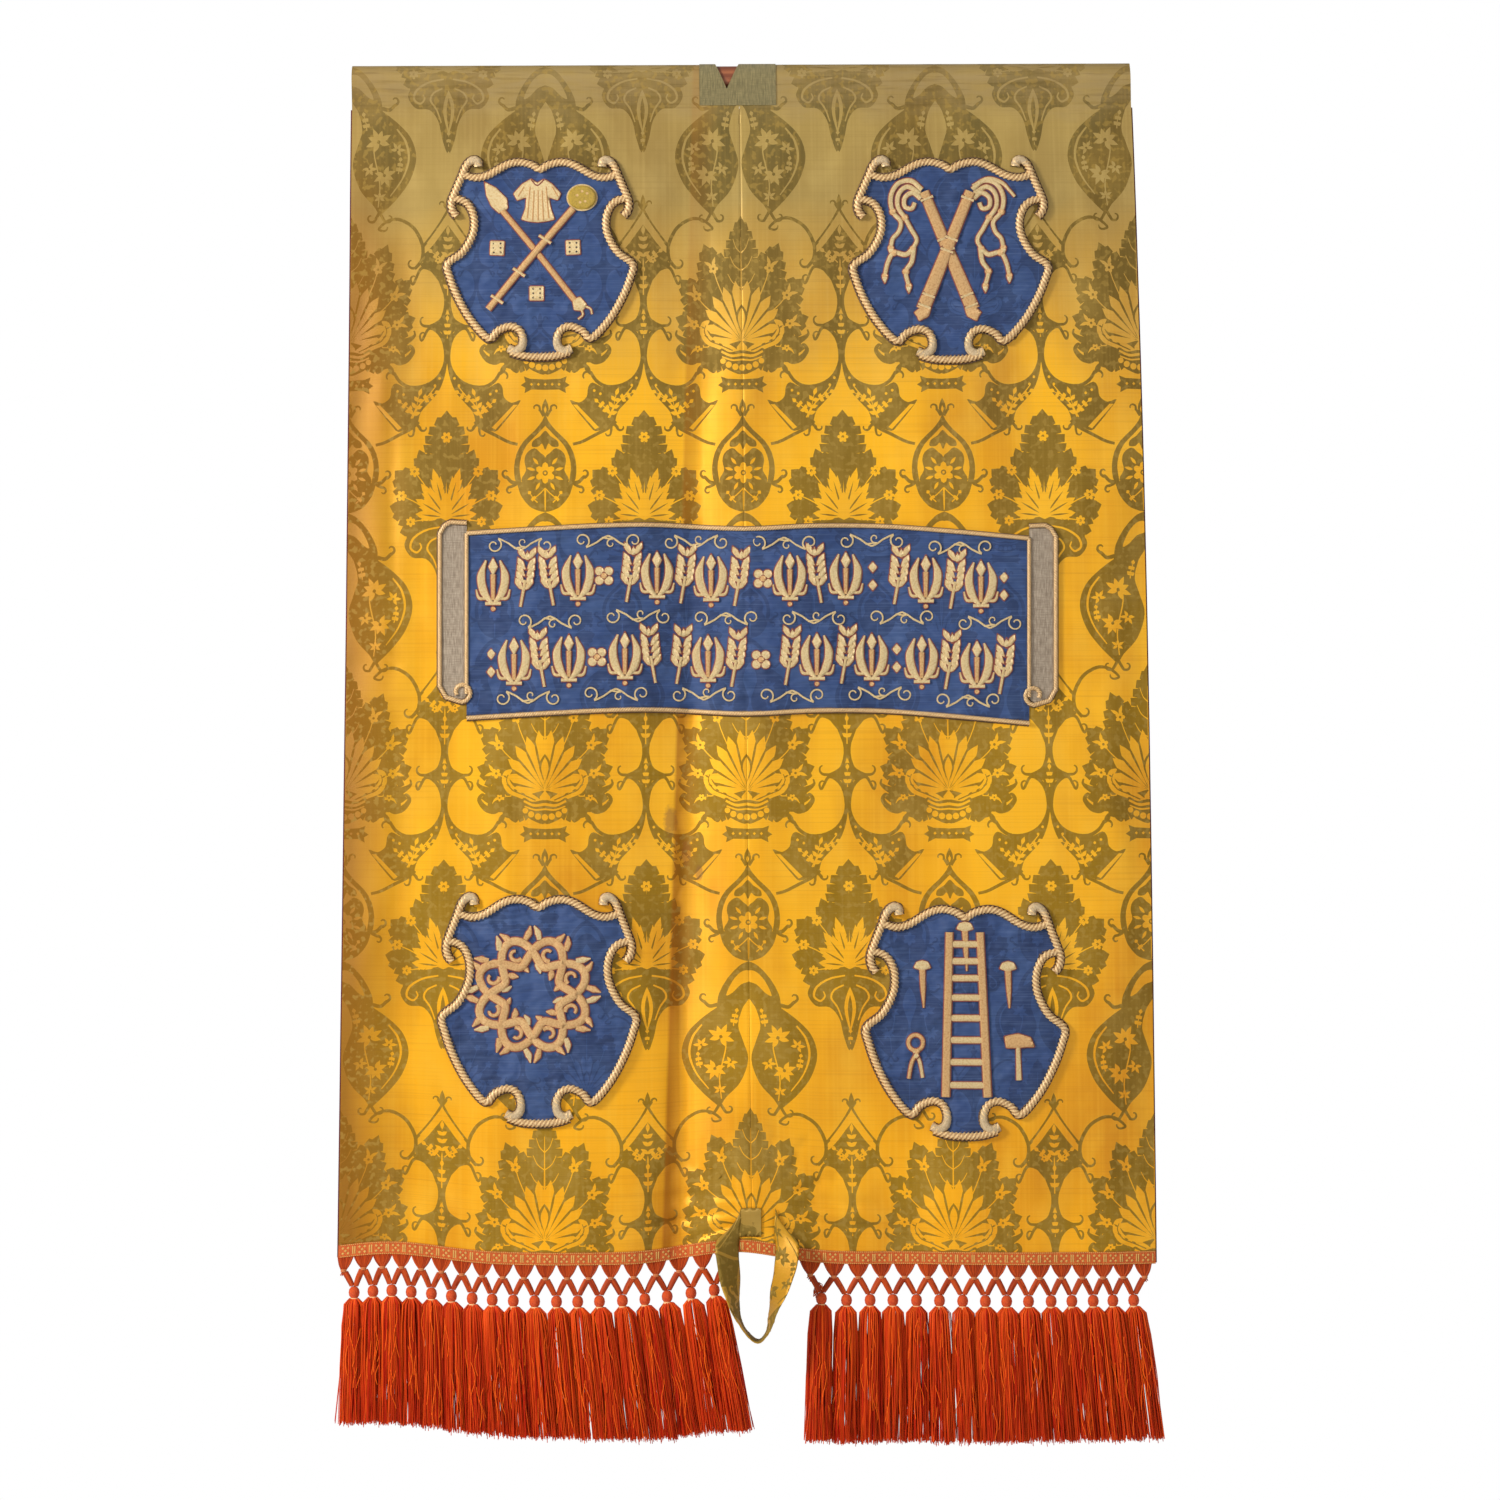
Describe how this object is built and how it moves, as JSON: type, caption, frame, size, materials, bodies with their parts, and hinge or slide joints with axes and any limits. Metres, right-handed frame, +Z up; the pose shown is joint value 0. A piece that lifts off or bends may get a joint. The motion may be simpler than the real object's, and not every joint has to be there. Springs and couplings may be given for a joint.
{
  "type": "church banner with wooden hanging rod",
  "caption": "Gold damask church banner on a wooden rod in its top sleeve, with blue shields and a blue scroll edged in gold cord, a knotted tassel fringe and a strap loop at the hem.",
  "frame": {"origin": "top of the rod at the notch in the sleeve, where a line holds it up", "axes": "+Z up; the banner faces -Y; +X to the viewer's right"},
  "size_m": [1.0339, 0.0783, 1.7296],
  "materials": {
    "gold_damask": "gold silk damask with an olive-brown figure",
    "maroon_lining": "plain maroon silk",
    "khaki_canvas": "faded khaki canvas",
    "blue_damask": "blue silk damask",
    "taupe_cloth": "ribbed taupe cloth",
    "gold_thread": "couched gold thread and cord",
    "orange_silk": "orange-red silk yarn",
    "rod_wood": "plain varnished wood"
  },
  "bodies": {
    "root": {"rod": "rod_wood", "banner_left": "gold_damask", "banner_right": "gold_damask", "lining": "maroon_lining", "notch_patch": "khaki_canvas", "braid": "orange_silk", "fringe_net_left": "orange_silk", "fringe_net_right": "orange_silk", "pole_loop": "gold_damask", "scroll_ground": "blue_damask", "scroll_end_left": "taupe_cloth", "scroll_end_right": "taupe_cloth", "scroll_edging": "gold_thread", "shield_1": "blue_damask", "shield_edging_1": "gold_thread", "shield_2": "blue_damask", "shield_edging_2": "gold_thread", "shield_3": "blue_damask", "shield_edging_3": "gold_thread", "shield_4": "blue_damask", "shield_edging_4": "gold_thread", "tassel_left_01": "orange_silk", "tassel_left_02": "orange_silk", "tassel_left_03": "orange_silk", "tassel_left_04": "orange_silk", "tassel_left_05": "orange_silk", "tassel_left_06": "orange_silk", "tassel_left_07": "orange_silk", "tassel_left_08": "orange_silk", "tassel_left_09": "orange_silk", "tassel_left_10": "orange_silk", "tassel_left_11": "orange_silk", "tassel_left_12": "orange_silk", "tassel_left_13": "orange_silk", "tassel_left_14": "orange_silk", "tassel_left_15": "orange_silk", "tassel_left_16": "orange_silk", "tassel_left_17": "orange_silk", "tassel_left_18": "orange_silk", "tassel_right_01": "orange_silk", "tassel_right_02": "orange_silk", "tassel_right_03": "orange_silk", "tassel_right_04": "orange_silk", "tassel_right_05": "orange_silk", "tassel_right_06": "orange_silk", "tassel_right_07": "orange_silk", "tassel_right_08": "orange_silk", "tassel_right_09": "orange_silk", "tassel_right_10": "orange_silk", "tassel_right_11": "orange_silk", "tassel_right_12": "orange_silk", "tassel_right_13": "orange_silk", "tassel_right_14": "orange_silk", "tassel_right_15": "orange_silk"}
  },
  "joints": []
}
